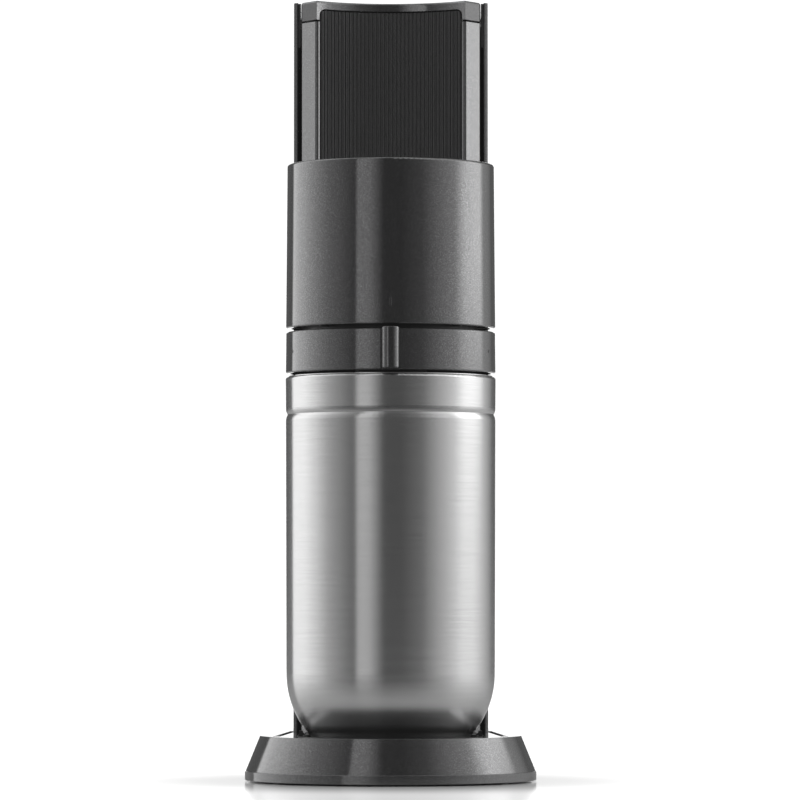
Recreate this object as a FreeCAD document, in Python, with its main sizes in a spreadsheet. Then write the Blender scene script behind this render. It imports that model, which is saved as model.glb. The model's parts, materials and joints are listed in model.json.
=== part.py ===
import FreeCAD, Part
import math
import os
import re
import Sketcher

# Counter-top soda carbonator. Millimetres, +Z up, front towards -Y, floor at Z = 0.
# Everything is drawn about the container's vertical axis, then moved by axis_offset
# along Y so that the origin is the middle of the whole object's footprint.

V = FreeCAD.Vector
doc = FreeCAD.newDocument("SodaCarbonator")
sheet = doc.addObject("Spreadsheet::Sheet", "Sizes")

SIZES = [
    ("total_height", 441.4, "floor to the top of the sleeve and cap"),
    ("axis_offset", -56.8, "container axis, in front of the footprint's middle"),
    ("tower_span", 128.0, "container axis to the centre of the round back"),
    ("play", 0.3, "gap between pieces that move past each other"),
    ("wall", 2.5, "usual moulded wall"),
    ("foot_height", 1.0, "daylight under the base"),
    ("foot_radius", 9.0, "rubber foot"),
    ("foot_stem_radius", 3.0, "stem of the foot in the base plate"),
    ("band_top", 5.9, "top of the base's upright lower band"),
    ("deck_height", 25.5, "top of the base"),
    ("base_front_radius", 81.2, "base outline about the container axis"),
    ("base_rear_radius", 66.8, "base outline about the rear centre"),
    ("deck_front_radius", 72.8, "deck outline about the container axis"),
    ("deck_rear_radius", 58.5, "deck outline about the rear centre"),
    ("plate_inset", 3.6, "base plate inside the base outline"),
    ("plate_top", 3.0, "top of the base plate"),
    ("groove_width", 4.0, "groove in the deck beside the tower"),
    ("groove_depth", 1.5, "depth of that groove"),
    ("tray_half_width", 51.0, "deck tray"),
    ("tray_front_radius", 69.0, "front edge of the deck tray"),
    ("tray_back", 64.0, "rear edge of the deck tray"),
    ("tray_top", 25.3, "top of the deck tray"),
    ("well_radius", 48.2, "well that the cradle cup stands in"),
    ("well_floor", 6.5, "floor of the well"),
    ("pivot_height", 17.0, "tilt axis of the container"),
    ("pivot_radius", 1.6, "tilt pin"),
    ("cup_radius", 47.4, "cradle cup"),
    ("cup_bottom", 14.0, "underside of the cradle cup"),
    ("cup_floor", 20.0, "inside floor of the cradle cup"),
    ("cup_top", 24.0, "lip of the cradle cup"),
    ("container_top", 225.0, "mouth of the steel container"),
    ("container_radius", 58.5, "steel container"),
    ("container_foot_radius", 39.3, "flat bottom of the container"),
    ("container_curve_start", 60.0, "where the container begins to curve in"),
    ("container_wall", 1.5, "steel wall"),
    ("crease_height", 204.0, "groove pressed round the container"),
    ("crease_radius", 57.55, "bottom of that groove"),
    ("ring_bottom", 226.9, "lock ring"),
    ("ring_top", 249.8, "lock ring"),
    ("ring_radius", 58.6, "lock ring"),
    ("ring_bore", 48.4, "bore of the lock ring's web"),
    ("grip_width", 9.9, "thumb grip on the lock ring"),
    ("grip_slot", 10.9, "shallow slot behind the grip"),
    ("grip_floor", 58.0, "floor of that slot from the axis"),
    ("grip_reach", 62.6, "front of the thumb grip from the axis"),
    ("head_bottom", 252.0, "carbonating head"),
    ("head_top", 343.4, "carbonating head"),
    ("head_low_radius", 58.5, "head at its bottom edge"),
    ("head_top_radius", 57.8, "head at its top edge"),
    ("head_wall", 2.7, "head shell"),
    ("arm_inner", 51.4, "inside face of the carriage arms"),
    ("arm_outer", 52.6, "outside face of the carriage arms"),
    ("arm_front", 16.0, "front end of the carriage arms"),
    ("arm_back", 101.5, "rear end of the carriage arms"),
    ("arm_bottom", 262.0, "lower edge of the carriage arms"),
    ("arm_top", 318.0, "upper edge of the carriage arms"),
    ("sleeve_half_width", 55.4, "tower sleeve outside"),
    ("stop_bottom", 416.0, "stops that close the sleeve's slots above the carriage arms"),
    ("sleeve_lean", 1.5, "how far the sleeve's front edges slope back"),
    ("sleeve_front", 57.0, "front edges of the tower sleeve"),
    ("window_half_width", 42.0, "service opening in the back of the sleeve"),
    ("window_bottom", 42.0, "service opening"),
    ("window_top", 420.0, "service opening"),
    ("column_half_width", 51.1, "inner column and cap"),
    ("column_shoulder", 56.5, "where the column's side begins"),
    ("column_nose", 42.2, "front corner of the column"),
    ("column_back", 84.0, "rear edge of the column's sides"),
    ("column_top", 429.4, "top of the column, under the seam"),
    ("scoop_radius", 61.5, "scooped front about the container axis"),
    ("panel_half_width", 40.2, "ribbed panel"),
    ("panel_top", 436.0, "ribbed panel"),
    ("rib_count", 37, "upright ribs on the panel"),
    ("rib_crest_radius", 61.9, "front of the ribs from the container axis"),
    ("rib_root_radius", 62.9, "bottom of the grooves between ribs"),
    ("panel_back_radius", 64.2, "back of the ribbed panel"),
    ("cap_bottom", 430.4, "lower edge of the cap, above the seam"),
    ("cap_roof", 438.4, "underside of the cap's top"),
    ("arch_top", 436.7, "opening in the front of the cap"),
    ("hinge_reach", 62.0, "cap hinge from the container axis"),
    ("hinge_height", 431.7, "cap hinge"),
    ("hinge_radius", 1.5, "cap hinge pin"),
    ("chassis_front", 84.3, "upright chassis plate"),
    ("chassis_top", 422.0, "upright chassis plate"),
    ("rod_reach", 95.0, "guide rods from the container axis"),
    ("rod_side", 44.0, "guide rods from the middle plane"),
    ("rod_radius", 4.0, "guide rods"),
    ("bush_radius", 6.0, "guide bushes outside"),
    ("bush_length", 14.0, "guide bushes"),
    ("running_gap", 0.05, "radial clearance of shafts and pins"),
    ("cylinder_radius", 30.0, "gas cylinder"),
    ("cylinder_wall", 3.0, "gas cylinder wall"),
    ("cylinder_bottom", 31.5, "gas cylinder"),
    ("cylinder_shoulder", 318.0, "gas cylinder"),
    ("cylinder_neck", 362.0, "gas cylinder"),
    ("valve_bottom", 372.0, "valve block"),
    ("valve_top", 398.0, "valve block"),
    ("valve_radius", 20.0, "valve block"),
    ("pin_radius", 3.0, "valve pin"),
    ("pin_bottom", 386.0, "valve pin"),
    ("pin_top", 412.0, "valve pin"),
    ("collar_height", 408.0, "collar on the valve pin"),
    ("nozzle_radius", 3.0, "carbonating tube"),
    ("nozzle_end", 152.0, "lower end of the carbonating tube"),
    ("hose_radius", 3.0, "gas hose"),
    ("line_radius", 0.6, "thin gas line on the carriage arm"),
]

for row, (alias, value, note) in enumerate(SIZES, start=1):
    sheet.set("A%d" % row, alias)
    sheet.set("B%d" % row, str(value))
    sheet.set("C%d" % row, note)
    sheet.setAlias("B%d" % row, alias)
doc.recompute()

parts = []


def size(alias):
    return float(sheet.get(alias))


def linked(text):
    """Turn 'head_top - wall' into an expression that reads the sheet."""
    return re.sub(r"\b([a-z][a-z_]+)\b", r"Sizes.\1", str(text))


def value(text):
    """Present value of a size expression."""
    return float(sheet.evalExpression(linked(text)))


def bind(thing, **links):
    for name, text in links.items():
        thing.setExpression(name, linked(text))


def place(thing, x, y, z, axis=None, angle=0.0):
    """Put a primitive at a point given by size expressions, turned about an axis."""
    turn = FreeCAD.Rotation(axis, angle) if axis else FreeCAD.Rotation()
    thing.Placement = FreeCAD.Placement(V(value(x), value(y), value(z)), turn)
    for name, text in (("x", x), ("y", y), ("z", z)):
        thing.setExpression(".Placement.Base." + name, linked(text))
    return thing


ALONG_X = (V(0, 1, 0), 90.0)
UPRIGHT = (None, 0.0)


def cylinder(radius, length, x=0, y=0, z=0, along=UPRIGHT):
    rod = doc.addObject("Part::Cylinder", "Rod")
    bind(rod, Radius=radius, Height=length)
    return place(rod, x, y, z, *along)


def cone(low, high, length, x=0, y=0, z=0):
    taper = doc.addObject("Part::Cone", "Taper")
    bind(taper, Radius1=low, Radius2=high, Height=length)
    return place(taper, x, y, z)


def block(width, depth, height, x, y, z):
    """Box with its lowest corner at x, y, z."""
    box = doc.addObject("Part::Box", "Block")
    bind(box, Length=width, Width=depth, Height=height)
    return place(box, x, y, z)


def fuse(*shapes):
    joined = doc.addObject("Part::MultiFuse", "Joined")
    joined.Shapes = list(shapes)
    return joined


def cut(base, *tools):
    result = doc.addObject("Part::Cut", "Cut")
    result.Base = base
    result.Tool = tools[0] if len(tools) == 1 else fuse(*tools)
    return result


def common(base, tool):
    result = doc.addObject("Part::Common", "Common")
    result.Base = base
    result.Tool = tool
    return result


def group(*shapes):
    """Separate solids that share one node."""
    bundle = doc.addObject("Part::Compound", "Group")
    bundle.Links = list(shapes)
    return bundle


def shaped(shape):
    """Object for a shape that is worked out with Part's own functions."""
    thing = doc.addObject("Part::Feature", "Shaped")
    thing.Shape = shape
    return thing


def node(label, thing):
    """Name a finished sub-part and move it from the container axis to the frame."""
    thing.Label = label
    thing.Placement = FreeCAD.Placement(V(0, size("axis_offset"), 0), FreeCAD.Rotation())
    thing.setExpression(".Placement.Base.y", linked("axis_offset"))
    parts.append(thing)


def origin_plane(body, role):
    return [item for item in body.Origin.OriginFeatures if item.Role == role][0]


def attached_sketch(body, role, height="0"):
    sketch = body.newObject("Sketcher::SketchObject", "Outline")
    sketch.AttachmentSupport = (origin_plane(body, role), [""])
    sketch.MapMode = "FlatFace"
    if role == "XY_Plane":
        sketch.AttachmentOffset = FreeCAD.Placement(V(0, 0, value(height)), FreeCAD.Rotation())
        sketch.setExpression(".AttachmentOffset.Base.z", linked(height))
    return sketch


def pin_vertex(sketch, edge, end, across, up):
    """Fix one corner of a sketch to two size expressions."""
    for kind, text in (("DistanceX", across), ("DistanceY", up)):
        rule = sketch.addConstraint(Sketcher.Constraint(kind, -1, 1, edge, end, value(text)))
        sketch.setExpression("Constraints[%d]" % rule, linked(text))


def draw_outline(sketch, corners):
    """Closed outline. A corner is (across, up), or (across, up, curve radius) where an
    arc that bulges outwards leads to the next corner."""
    spots = [V(value(corner[0]), value(corner[1]), 0) for corner in corners]
    ends = []
    for index, corner in enumerate(corners):
        start, stop = spots[index], spots[(index + 1) % len(spots)]
        if len(corner) == 3:
            radius = value(corner[2])
            chord = stop - start
            side = V(chord.y, -chord.x, 0).normalize()
            rise = radius - math.sqrt(radius ** 2 - (chord.Length / 2) ** 2)
            edge = sketch.addGeometry(Part.Arc(start, (start + stop) / 2 + side * rise, stop))
            first = sketch.Geometry[edge].StartPoint
            flipped = (first - start).Length > (first - stop).Length
            rule = sketch.addConstraint(Sketcher.Constraint("Radius", edge, radius))
            sketch.setExpression("Constraints[%d]" % rule, linked(corner[2]))
        else:
            edge = sketch.addGeometry(Part.LineSegment(start, stop))
            flipped = False
        ends.append((edge, 2, 1) if flipped else (edge, 1, 2))
    for index, (edge, start, stop) in enumerate(ends):
        follower = ends[(index + 1) % len(ends)]
        sketch.addConstraint(Sketcher.Constraint("Coincident", edge, stop, follower[0], follower[1]))
        pin_vertex(sketch, edge, start, corners[index][0], corners[index][1])


def turned(label, corners, reach="0"):
    """Round piece, turned about an upright axis that stands reach behind the container's."""
    body = doc.addObject("PartDesign::Body", "Turned")
    sketch = attached_sketch(body, "XZ_Plane")
    draw_outline(sketch, corners)
    turning = body.newObject("PartDesign::Revolution", "Turning")
    turning.Profile = sketch
    turning.ReferenceAxis = (sketch, ["V_Axis"])
    turning.Angle = 360
    doc.recompute()
    if label:
        node(label, body)
        body.Placement.Base.y = value("axis_offset + " + reach)
        body.setExpression(".Placement.Base.y", linked("axis_offset + " + reach))
    return body


def draw_hull(sketch, front, rear):
    """Outline round two circles, one on the container axis and one on the rear centre."""
    near, far, span = value(front), value(rear), size("tower_span")
    lean = math.asin((near - far) / span)
    side = V(math.cos(lean), math.sin(lean), 0)
    corner = {}
    for sign in (-1, 1):
        out = V(side.x * sign, side.y, 0)
        corner[sign] = (out * near, out * far + V(0, span, 0))
    arc_near = sketch.addGeometry(Part.Arc(corner[-1][0], V(0, -near, 0), corner[1][0]))
    right = sketch.addGeometry(Part.LineSegment(corner[1][0], corner[1][1]))
    arc_far = sketch.addGeometry(Part.Arc(corner[1][1], V(0, span + far, 0), corner[-1][1]))
    left = sketch.addGeometry(Part.LineSegment(corner[-1][1], corner[-1][0]))
    for first, second in ((arc_near, right), (right, arc_far), (arc_far, left), (left, arc_near)):
        sketch.addConstraint(Sketcher.Constraint("Tangent", first, 2, second, 1))
    sketch.addConstraint(Sketcher.Constraint("Coincident", arc_near, 3, -1, 1))
    sketch.addConstraint(Sketcher.Constraint("PointOnObject", arc_far, 3, -2))
    for edge, text in ((arc_near, front), (arc_far, rear)):
        rule = sketch.addConstraint(Sketcher.Constraint("Radius", edge, value(text)))
        sketch.setExpression("Constraints[%d]" % rule, linked(text))
    rule = sketch.addConstraint(Sketcher.Constraint("DistanceY", -1, 1, arc_far, 3, span))
    sketch.setExpression("Constraints[%d]" % rule, linked("tower_span"))


def hull_section(body, front, rear, height):
    sketch = attached_sketch(body, "XY_Plane", height)
    draw_hull(sketch, front, rear)
    return sketch


def add_loft(body, kind, low, high):
    loft = body.newObject("PartDesign::" + kind, "Flare")
    loft.Profile = low
    loft.Sections = [high]
    loft.Ruled = True
    doc.recompute()
    return loft


def face_through(steps):
    """Flat face in XY. A step is (x, y), or (x, y, mid x, mid y) for an arc that gets there."""
    edges = []
    last = V(steps[-1][0], steps[-1][1], 0)
    for step in steps:
        spot = V(step[0], step[1], 0)
        if len(step) == 4:
            edges.append(Part.Arc(last, V(step[2], step[3], 0), spot).toShape())
        else:
            edges.append(Part.LineSegment(last, spot).toShape())
        last = spot
    return Part.Face(Part.Wire(edges))


def raised(face, bottom, top):
    face.translate(V(0, 0, bottom))
    return face.extrude(V(0, 0, top - bottom))


def soften(shape, radius, wanted):
    """Round the edges whose bounding box passes the test."""
    edges = [edge for edge in shape.Edges if wanted(edge.BoundBox)]
    return shape.makeFillet(radius, edges)


def upright_at(x, y):
    """Test for an upright edge at x, y."""
    def found(box):
        flat = box.XLength < 0.01 and box.YLength < 0.01
        return flat and abs(abs(box.XMin) - x) < 0.1 and abs(box.YMin - y) < 0.1
    return found


def pipe(spots, radius):
    """Round tube along straight runs joined by arcs as large as the runs allow."""
    edges = []
    last = spots[0]
    for before, corner, after in zip(spots, spots[1:], spots[2:]):
        back = (before - corner).normalize()
        onward = (after - corner).normalize()
        half = back.getAngle(onward) / 2
        trim = 0.45 * min((before - corner).Length, (after - corner).Length)
        bend = trim * math.tan(half)
        centre = corner + (back + onward).normalize() * (bend / math.sin(half))
        middle = centre + (corner - centre).normalize() * bend
        edges.append(Part.LineSegment(last, corner + back * trim).toShape())
        edges.append(Part.Arc(corner + back * trim, middle, corner + onward * trim).toShape())
        last = corner + onward * trim
    edges.append(Part.LineSegment(last, spots[-1]).toShape())
    path = Part.Wire(edges)
    ring = Part.Wire(Part.makeCircle(radius, spots[0], spots[1] - spots[0]))
    tube = path.makePipeShell([ring], True, True)
    print("tube", round(tube.Volume), "of", round(math.pi * radius ** 2 * path.Length))
    return tube


# ---- base ---------------------------------------------------------------------------

PLATE_SCREWS = [(62, -20), (58, 60), (28, 168)]
CHASSIS_SCREWS = [(26, 89), (42, 89)]
FOOT_SPOTS = [(52, -36), (40, 150)]
BOTH_SIDES = (-1, 1)


def mirrored(spots):
    return [(sign * x, y) for x, y in spots for sign in BOTH_SIDES]


def base_hull_body():
    """Upright band and sloped skirt, hollow underneath."""
    body = doc.addObject("PartDesign::Body", "BaseHull")
    band = body.newObject("PartDesign::Pad", "Band")
    band.Profile = hull_section(body, "base_front_radius", "base_rear_radius", "foot_height")
    bind(band, Length="band_top - foot_height")
    doc.recompute()
    low = hull_section(body, "base_front_radius - 0.4", "base_rear_radius - 0.4", "band_top")
    high = hull_section(body, "deck_front_radius", "deck_rear_radius", "deck_height")
    add_loft(body, "AdditiveLoft", low, high)
    solid = body.Shape.Volume
    low = hull_section(body, "base_front_radius - wall", "base_rear_radius - wall", "foot_height")
    high = hull_section(body, "deck_front_radius - wall", "deck_rear_radius - wall",
                        "deck_height - wall")
    add_loft(body, "SubtractiveLoft", low, high)
    print("base hollowed by", round(solid - body.Shape.Volume))
    return body


def deck_grooves():
    tools = []
    near, far = V(63.2, -27, 0), V(55.6, 84, 0)
    lean = math.degrees(math.atan2(near.x - far.x, far.y - near.y))
    for sign in BOTH_SIDES:
        x, y = str(sign * near.x), str(near.y)
        strip = doc.addObject("Part::Box", "Groove")
        bind(strip, Length="groove_width", Width=(far - near).Length, Height="groove_depth + 1")
        turn = FreeCAD.Rotation(V(0, 0, 1), sign * lean)
        corner = V(sign * near.x, near.y, 0) + turn.multVec(V(-size("groove_width") / 2, 0, 0))
        corner.z = value("deck_height - groove_depth")
        strip.Placement = FreeCAD.Placement(corner, turn)
        tools.append(strip)
        tools.append(cylinder("groove_width / 2", "groove_depth + 1", x, y,
                              "deck_height - groove_depth"))
    return tools


def tray_outline(margin):
    """Deck tray in plan: straight sides and back, round front."""
    side = size("tray_half_width") + margin
    front = size("tray_front_radius") + margin
    back = size("tray_back") + margin
    corner = -math.sqrt(front ** 2 - side ** 2)
    return face_through([(side, corner, 0, -front), (side, back), (-side, back), (-side, corner)])


def build_base():
    bosses = [cylinder(3.5, "deck_height - wall - plate_top + 0.5", x, y, "plate_top")
              for x, y in mirrored(PLATE_SCREWS)]
    holes = [cylinder(1.25, 14, x, y, "plate_top - 0.5") for x, y in mirrored(PLATE_SCREWS)]
    holes += [cylinder(2.05, 10, x, y, 18) for x, y in mirrored(CHASSIS_SCREWS)]
    opening = shaped(raised(tray_outline(0.5), size("deck_height") - 6, size("deck_height") + 1))
    node("base_shell", cut(fuse(base_hull_body(), *bosses), opening, *holes, *deck_grooves()))

    body = doc.addObject("PartDesign::Body", "PlateBody")
    sheet_metal = body.newObject("PartDesign::Pad", "Plate")
    sheet_metal.Profile = hull_section(body, "base_front_radius - plate_inset",
                                       "base_rear_radius - plate_inset", "foot_height")
    bind(sheet_metal, Length="plate_top - foot_height")
    doc.recompute()
    holes = [cylinder(1.6, 6, x, y, 0) for x, y in mirrored(PLATE_SCREWS)]
    holes += [cylinder("foot_stem_radius", 6, x, y, 0) for x, y in mirrored(FOOT_SPOTS)]
    node("base_plate", cut(body, *holes))

    feet = [fuse(cylinder("foot_radius", "foot_height", x, y, 0),
                 cylinder("foot_stem_radius", "plate_top + 1.5", x, y, 0))
            for x, y in mirrored(FOOT_SPOTS)]
    node("base_feet", group(*feet))

    screws = [fuse(cylinder(2.8, 0.6, x, y, "foot_height - 0.6"),
                   cylinder(1.25, "plate_top + 8 - foot_height", x, y, "foot_height"))
              for x, y in mirrored(PLATE_SCREWS)]
    node("plate_screws", group(*screws))


def build_tray():
    """Deck tray with the container's well, its two pin bores and the detent ears."""
    plate = shaped(raised(tray_outline(0), size("tray_top") - 3, size("tray_top")))
    drum = cylinder("tray_half_width - 0.1", "tray_top - plate_top - 1", z="plate_top")
    well = cylinder("well_radius", 30, z="well_floor")
    relief = common(cone("well_radius", "well_radius + 4", 5.5, z="tray_top - 5.3"),
                    block(110, 48, 20, -55, -60, 15))
    bores = [cylinder("pivot_radius", 110, -55, 0, "pivot_height", ALONG_X)]
    ears = [block(2.1, 10, 3.4, sign * 49.85 - 1.05, -9, "tray_top - 0.5") for sign in BOTH_SIDES]
    node("deck_tray", fuse(cut(fuse(plate, drum), well, relief, *bores), *ears))

    pins = [cylinder("pivot_radius", "tray_half_width - 41.4", x, 0, "pivot_height", ALONG_X)
            for x in ("41.3", "-tray_half_width + 0.1")]
    node("tilt_pins", group(*pins))

    balls = []
    for sign in BOTH_SIDES:
        ball = doc.addObject("Part::Sphere", "Ball")
        ball.Radius = 0.8
        balls.append(place(ball, sign * 48.0, -4, "tray_top + 1.2"))
    node("detent_balls", group(*balls))


# ---- container ----------------------------------------------------------------------

def build_container():
    """Steel container with a creased neck, on a plastic cup that tilts on two pins."""
    inner = "container_radius - container_wall"
    profile = [
        ("0", "cup_floor"),
        ("container_foot_radius", "cup_floor", "52"),
        ("container_radius - 0.4", "container_curve_start"),
        ("container_radius", "crease_height - 3.4", "6.6"),
        ("crease_radius", "crease_height", "6.3"),
        ("container_radius", "crease_height + 3.3"),
        ("container_radius + 0.15", "container_top - 1.5", "1.5"),
        ("container_radius - 1.35", "container_top"),
        ("container_radius - 1.4", "container_top"),
        (inner, "crease_height + 4"),
        ("crease_radius - container_wall", "crease_height"),
        (inner, "crease_height - 6"),
        (inner, "container_curve_start + 2"),
        ("container_foot_radius + 9", "cup_floor + 13"),
        ("container_foot_radius - 1", "cup_floor + container_wall"),
        ("0", "cup_floor + container_wall"),
    ]
    turned("container_shell", profile)
    turned("container_rim", [
        ("container_radius - 3.2", "container_top - 12"),
        ("container_radius - 1.7", "container_top - 12"),
        ("container_radius - 1.7", "container_top + 0.5"),
        ("container_radius - 3.2", "container_top + 0.5")])
    turned("bottle_pad", [
        ("14", "cup_floor + container_wall"),
        ("36", "cup_floor + container_wall"),
        ("36", "cup_floor + 5.5"),
        ("34", "cup_floor + 6.5"),
        ("14", "cup_floor + 4.5")])
    cup = turned("", [
        ("0", "cup_bottom"),
        ("cup_radius - 1", "cup_bottom"),
        ("cup_radius", "cup_bottom + 1"),
        ("cup_radius", "cup_top"),
        ("cup_radius - 3.4", "cup_top"),
        ("container_foot_radius + 0.5", "cup_floor"),
        ("0", "cup_floor")])
    bores = [cylinder("pivot_radius + running_gap", 10, x, 0, "pivot_height", ALONG_X)
             for x in ("41", "-51")]
    spots = [(28, 28), (28, -28)]
    holes = [cylinder(1.5, 12, x, y, 10) for x, y in mirrored(spots)]
    node("cradle_cup", cut(cup, *bores, *holes))
    screws = [fuse(cylinder(2.8, 1.2, x, y, "cup_bottom - 1.2"),
                   cylinder(1.5, "cup_floor - cup_bottom", x, y, "cup_bottom"))
              for x, y in mirrored(spots)]
    node("cup_screws", group(*screws))


# ---- tower --------------------------------------------------------------------------

def build_sleeve():
    """Outer sleeve of the tower, open at the front, with a service opening at the back."""
    out = size("sleeve_half_width")
    inn = out - size("wall")
    front, span = size("sleeve_front"), size("tower_span")
    lean = size("sleeve_lean")
    face = face_through([(out, front + lean), (out, span), (-out, span, 0, span + out),
                         (-out, front + lean),
                         (-inn, front), (-inn, span), (inn, span, 0, span + inn), (inn, front)])
    top = size("total_height")
    wall = raised(face, size("deck_height"), top)
    wall = soften(wall, 0.7, lambda box: (
        box.ZMin > top - 0.01 and (abs(box.XMin) > out - 0.01 or abs(box.XMax) > out - 0.01)
        or box.ZLength > 100 and box.YMax < front + lean + 0.01))
    window = block("2 * window_half_width", 60, "window_top - window_bottom",
                   "-window_half_width", "tower_span + 10", "window_bottom")
    stops = [block("sleeve_half_width - column_half_width - play - 1", 30,
                   "total_height - stop_bottom - 0.3", x, "sleeve_front + 3", "stop_bottom")
             for x in ("column_half_width + play", "-sleeve_half_width + 1")]
    node("tower_sleeve", cut(fuse(shaped(wall), *stops), window))

    tube = cut(cylinder("sleeve_half_width", "window_top - window_bottom - 2 * play",
                        y="tower_span", z="window_bottom + play"),
               cylinder("sleeve_half_width - wall", 500, y="tower_span"))
    slab = block("2 * (window_half_width - play)", 60, 420, "-window_half_width + play",
                 "tower_span + 12", 20)
    node("rear_cover", common(tube, slab))
    clips = []
    for sign in BOTH_SIDES:
        for height in (70, 220, 380):
            clips.append(block(8, 12, 14, sign * 34 - 4, "tower_span + 34", height))
    round_back = cylinder("sleeve_half_width - wall", 500, y="tower_span")
    node("cover_clips", common(group(*clips), round_back))


def build_column():
    """Inner column: bevelled sides and a recess for the ribbed panel."""
    side, nose = size("column_half_width"), size("column_nose")
    back, shoulder, scoop = size("column_back"), size("column_shoulder"), size("scoop_radius")
    seat = size("panel_half_width") + 0.2
    rear = size("panel_back_radius")
    lip = math.sqrt(scoop ** 2 - nose ** 2)
    edge = math.sqrt(scoop ** 2 - seat ** 2)
    deep = math.sqrt(rear ** 2 - seat ** 2)
    skin = 2.2
    inner = math.sqrt((rear + skin) ** 2 - (seat + 0.6) ** 2)
    face = face_through([
        (side, back), (side, shoulder), (nose, lip), (seat, edge), (seat, deep),
        (-seat, deep, 0, rear), (-seat, edge), (-nose, lip), (-side, shoulder), (-side, back),
        (-side + skin, back), (-side + skin, shoulder + 3), (-seat - 0.6, inner),
        (seat + 0.6, inner, 0, rear + skin), (side - skin, shoulder + 3), (side - skin, back)])
    shell = raised(face, size("deck_height"), size("column_top"))
    shell = soften(shell, 3.0, upright_at(side, shoulder))
    shell = soften(shell, 1.5, upright_at(nose, lip))
    step_down = block(120, 40, 20, -60, "hinge_reach + 1", "column_top - 3")
    node("column_core", cut(shaped(shell), step_down))


def build_panel():
    """Thin curved panel whose front is a row of half-round ribs."""
    crest, root = size("rib_crest_radius"), size("rib_root_radius")
    back, half = size("panel_back_radius"), size("panel_half_width")
    count = int(size("rib_count"))
    reach = math.asin(half / root)
    step = 2 * reach / count

    def spot(radius, angle):
        return radius * math.sin(angle), radius * math.cos(angle)

    steps = [spot(root, -reach)]
    for index in range(count):
        start = -reach + index * step
        steps.append(spot(root, start + step) + spot(crest, start + step / 2))
    edge = math.asin(half / back)
    steps.append(spot(back, edge))
    steps.append(spot(back, -edge) + (0.0, back))
    slab = raised(face_through(steps), size("deck_height") + 0.5, size("panel_top"))
    frame = Part.makeBox(2 * half, 40, size("panel_top"), V(-half, 35, 0))
    frame = soften(frame, 3.0, lambda box: box.ZMin > size("panel_top") - 0.01
                   and box.XLength < 0.01)
    node("ribbed_panel", shaped(slab.common(frame)))


def build_chassis():
    """Upright plate between the column and the gas cylinder, with foot, rods and brackets."""
    plate = block("2 * (column_half_width - 0.5)", "wall", "chassis_top - deck_height",
                  "-column_half_width + 0.5", "chassis_front", "deck_height")
    foot = block("2 * (column_half_width - 0.5)", 8, "wall", "-column_half_width + 0.5",
                 "chassis_front", "deck_height")
    holes = [cylinder(2.05, 10, x, y, 20) for x, y in mirrored(CHASSIS_SCREWS)]
    node("chassis_plate", cut(fuse(plate, foot), *holes))
    screws = [fuse(cylinder(3.5, 2.4, x, y, "deck_height - wall - 2.4"),
                   cylinder(2.05, "2 * wall + 3", x, y, "deck_height - wall"))
              for x, y in mirrored(CHASSIS_SCREWS)]
    node("chassis_screws", group(*screws))

    rods = [cylinder("rod_radius", "chassis_top - deck_height - wall - 2", x, "rod_reach",
                     "deck_height + wall") for x in ("rod_side", "-rod_side")]
    node("guide_rods", group(*rods))
    blocks = []
    for x in ("rod_side", "-rod_side"):
        for z in ("deck_height + wall + 3", "chassis_top - 10"):
            bracket = block(13, "rod_reach - chassis_front - wall + 6.5", 8, x + " - 6.5",
                            "chassis_front + wall", z)
            blocks.append(cut(bracket, cylinder("rod_radius", 20, x, "rod_reach", z + " - 5")))
    node("rod_brackets", group(*blocks))


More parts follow.
